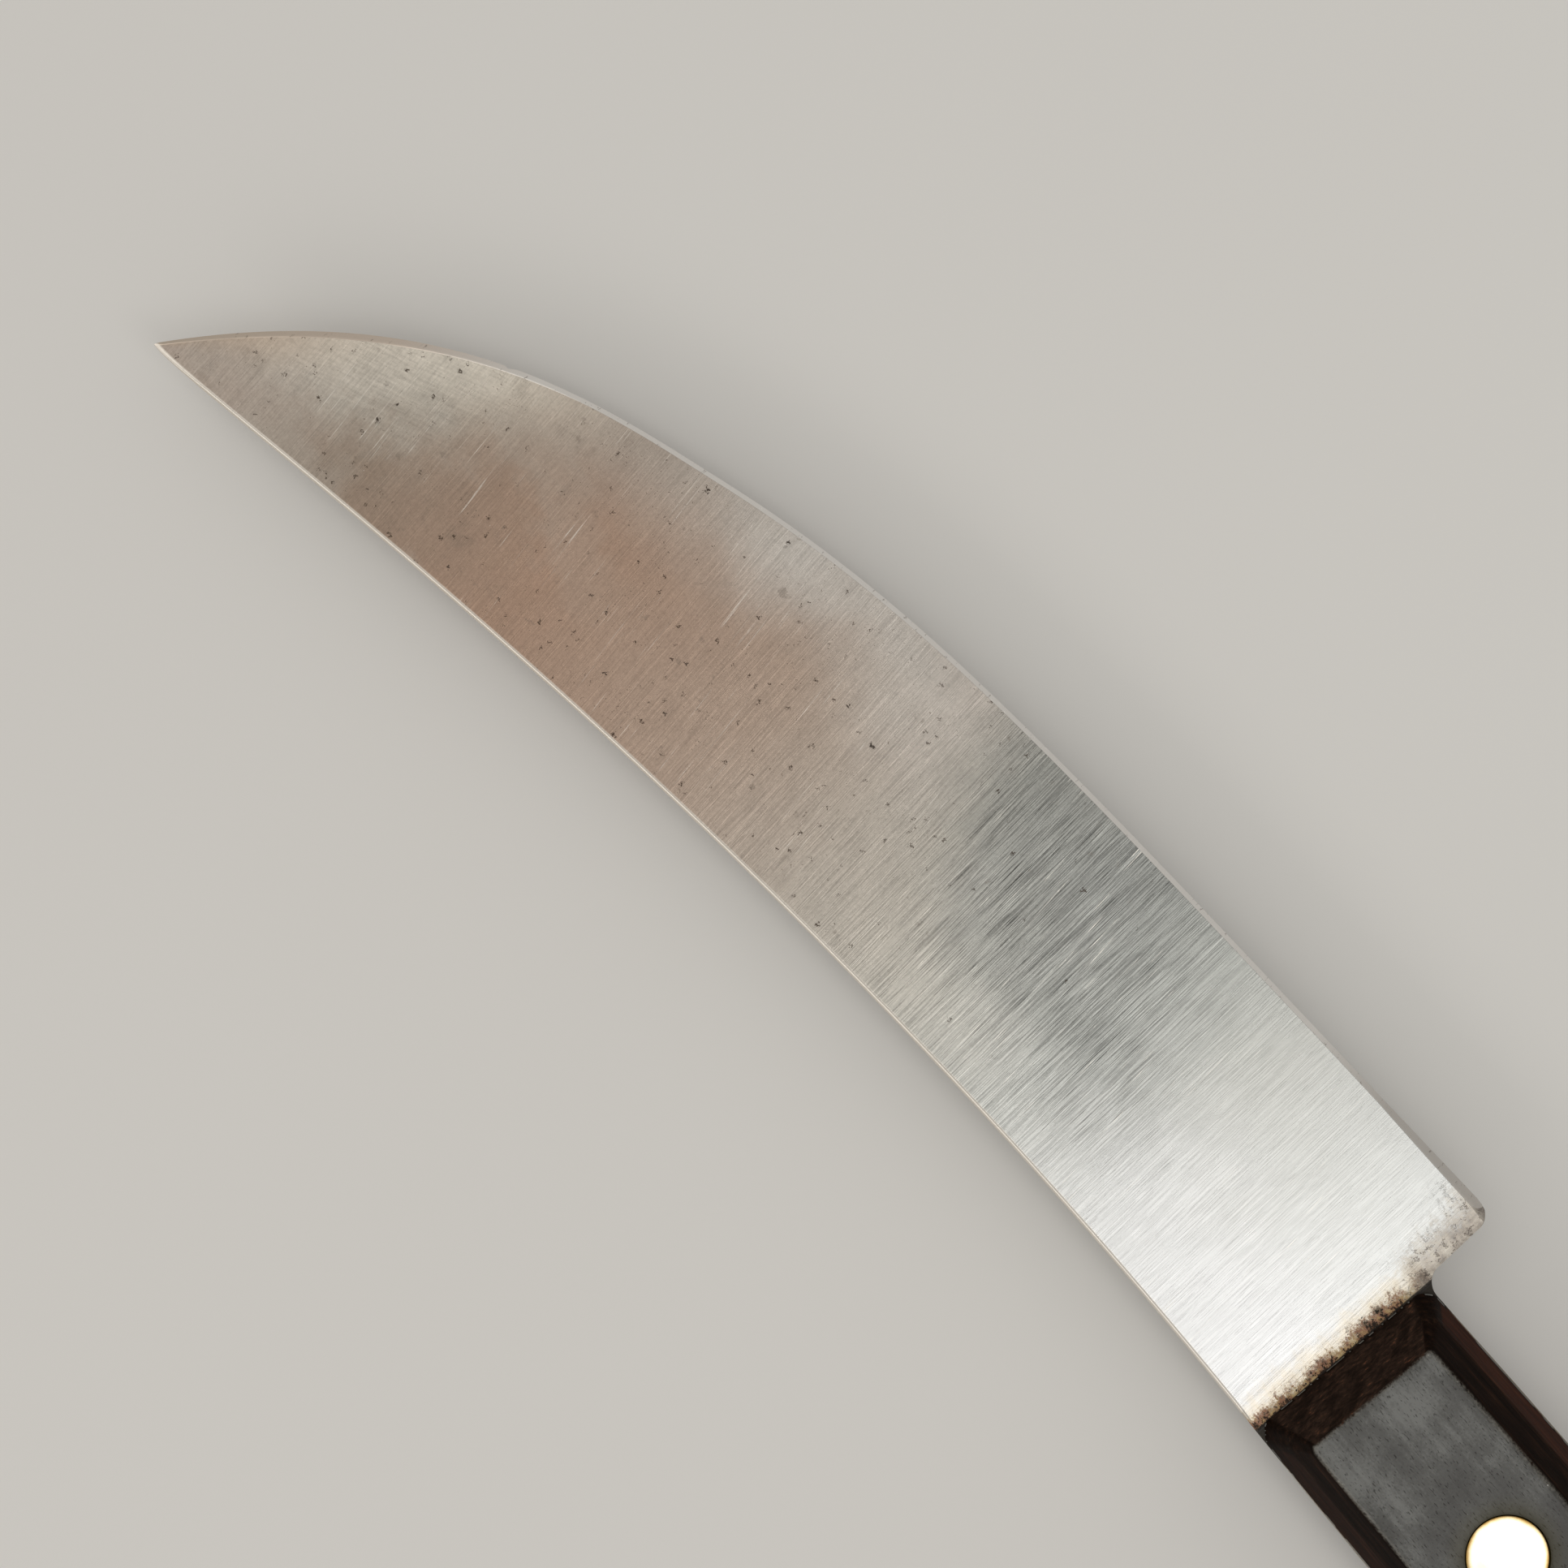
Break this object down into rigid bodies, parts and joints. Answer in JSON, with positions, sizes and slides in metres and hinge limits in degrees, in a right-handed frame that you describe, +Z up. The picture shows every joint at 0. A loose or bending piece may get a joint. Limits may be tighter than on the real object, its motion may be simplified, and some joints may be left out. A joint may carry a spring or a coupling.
{
  "type": "boning knife",
  "caption": "Butcher's boning knife with an up-swept curved blade, a full tang and a riveted wooden handle with chamfered sides.",
  "frame": {"origin": "middle of the knife's box in length and width, on the surface that the knife lies on", "axes": "+X from the butt to the tip, +Y towards the spine, +Z up through the knife's thickness"},
  "size_m": [0.2686, 0.0424, 0.0166],
  "materials": {
    "blade_steel": "satin carbon steel, ground across the blade, lightly pitted and stained",
    "handle_wood": "dark, oiled and worn hardwood with fine pores, grey sheen on the flat face",
    "rivet_brass": "pale brass, worn bright and flush with the wood"
  },
  "bodies": {
    "root": {"blade_and_tang": "blade_steel", "upper_scale": "handle_wood", "lower_scale": "handle_wood", "front_rivet_male": "rivet_brass", "front_rivet_female": "rivet_brass", "middle_rivet_male": "rivet_brass", "middle_rivet_female": "rivet_brass", "rear_rivet_male": "rivet_brass", "rear_rivet_female": "rivet_brass"}
  },
  "joints": []
}
